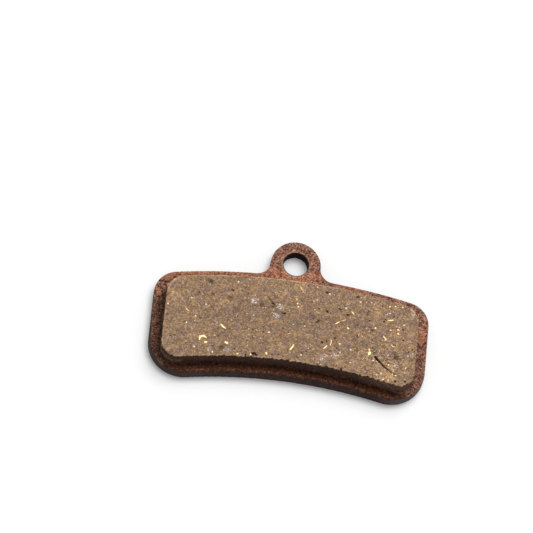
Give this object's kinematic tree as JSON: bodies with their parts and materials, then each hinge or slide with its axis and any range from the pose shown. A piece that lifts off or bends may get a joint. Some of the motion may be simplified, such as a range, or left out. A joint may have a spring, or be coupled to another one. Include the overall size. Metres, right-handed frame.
{
  "type": "bicycle disc brake pad",
  "caption": "Worn, rusty bicycle disc brake pad: a curved steel backing plate with a pin eye and a moulded friction block on its face.",
  "frame": {"origin": "axis of the pin eye on the backing plate's back face", "axes": "+Z from the back face to the friction face, +Y away from the rotor's axle towards the eye, +X along the pad's length"},
  "size_m": [0.044, 0.0256, 0.0042],
  "materials": {
    "rusty_steel": "blanked steel, rusted brown and orange on the face, dark on the cut edge",
    "friction_compound": "matt tan moulded compound with brass shavings, pale mineral grains and dark pits, worn flat"
  },
  "bodies": {
    "root": {"backing_plate": "rusty_steel", "friction_block": "friction_compound"}
  },
  "joints": []
}
